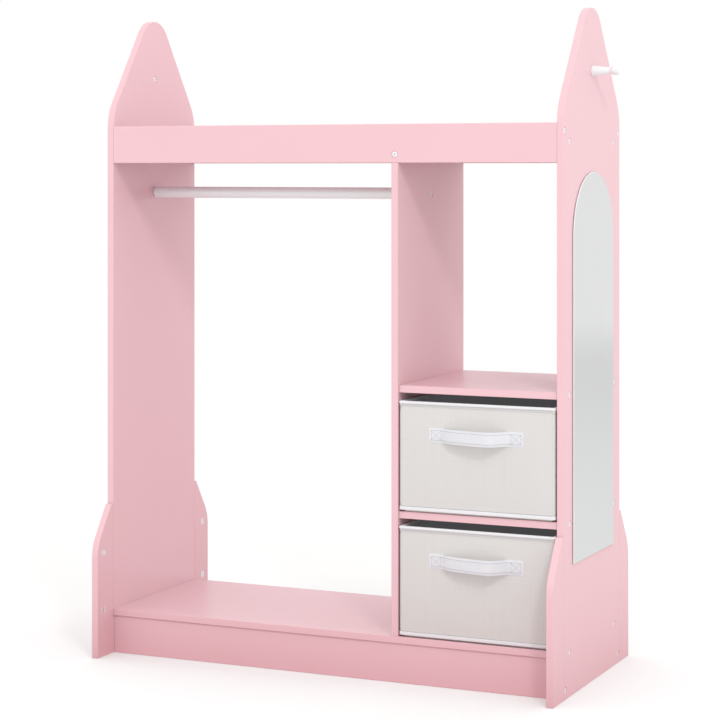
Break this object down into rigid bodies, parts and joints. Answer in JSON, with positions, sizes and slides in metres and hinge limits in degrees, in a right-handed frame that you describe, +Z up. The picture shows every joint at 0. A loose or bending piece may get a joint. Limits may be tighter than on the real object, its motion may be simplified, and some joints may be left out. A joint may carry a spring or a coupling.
{
  "type": "dress up storage unit with mirror",
  "caption": "Child's dress-up storage unit with pointed side panels, a hanging rod, a tray top, an open cubby, pull-out fabric bins, pegs and an arched mirror on one side.",
  "frame": {"origin": "on the floor, midway between the side panels and midway between their front and rear edges", "axes": "+Z is up, -Y is the front that the bins pull out of, +X is the side with the bins and the mirror"},
  "size_m": [0.948, 0.406, 1.1279],
  "materials": {
    "painted_board": "satin pink paint on fibreboard",
    "white_paint": "smooth white paint",
    "mirror_sheet": "polished mirror sheet",
    "foam_pad": "double-sided foam tape",
    "white_screw": "white-finished steel",
    "dowel_wood": "bare beech",
    "cam_lock": "white-finished zinc casting",
    "cam_bolt": "zinc-plated steel",
    "bin_cloth": "plain off-white woven cloth",
    "bin_card": "pressed card",
    "bin_lining": "charcoal non-woven cloth",
    "bin_lining_board": "card covered in charcoal non-woven cloth",
    "bin_tape": "white binding tape",
    "strap_webbing": "white ribbed webbing"
  },
  "bodies": {
    "unit": {"left_side_panel": "painted_board", "right_side_panel": "painted_board", "left_front_ear": "painted_board", "left_rear_ear": "painted_board", "right_front_ear": "painted_board", "right_rear_ear": "painted_board", "front_rail": "painted_board", "rear_rail": "painted_board", "top_shelf": "painted_board", "divider": "painted_board", "upper_shelf": "painted_board", "middle_shelf": "painted_board", "base_shelf": "painted_board", "front_kickboard": "painted_board", "rear_kickboard": "painted_board", "clothes_rod": "white_paint", "left_peg": "white_paint", "right_peg": "white_paint", "mirror": "mirror_sheet", "mirror_pads": "foam_pad", "panel_screws": "white_screw", "rod_screws": "white_screw", "peg_screws": "white_screw", "wood_dowels": "dowel_wood", "ear_cams": "cam_lock", "ear_cam_bolts": "cam_bolt"},
    "upper_bin": {"upper_bin_shell": "bin_cloth", "upper_bin_cards": "bin_card", "upper_bin_lining": "bin_lining", "upper_bin_floor_board": "bin_lining_board", "upper_bin_top_tape": "bin_tape", "upper_bin_bottom_tape": "bin_tape", "upper_bin_handle": "strap_webbing"},
    "lower_bin": {"lower_bin_shell": "bin_cloth", "lower_bin_cards": "bin_card", "lower_bin_lining": "bin_lining", "lower_bin_floor_board": "bin_lining_board", "lower_bin_top_tape": "bin_tape", "lower_bin_bottom_tape": "bin_tape", "lower_bin_handle": "strap_webbing"}
  },
  "joints": [
    {"name": "upper_bin_slide", "type": "slide", "parent": "unit", "child": "upper_bin", "axis": [0, -1, 0], "range_m": [0, 0.3]},
    {"name": "lower_bin_slide", "type": "slide", "parent": "unit", "child": "lower_bin", "axis": [0, -1, 0], "range_m": [0, 0.3]}
  ]
}
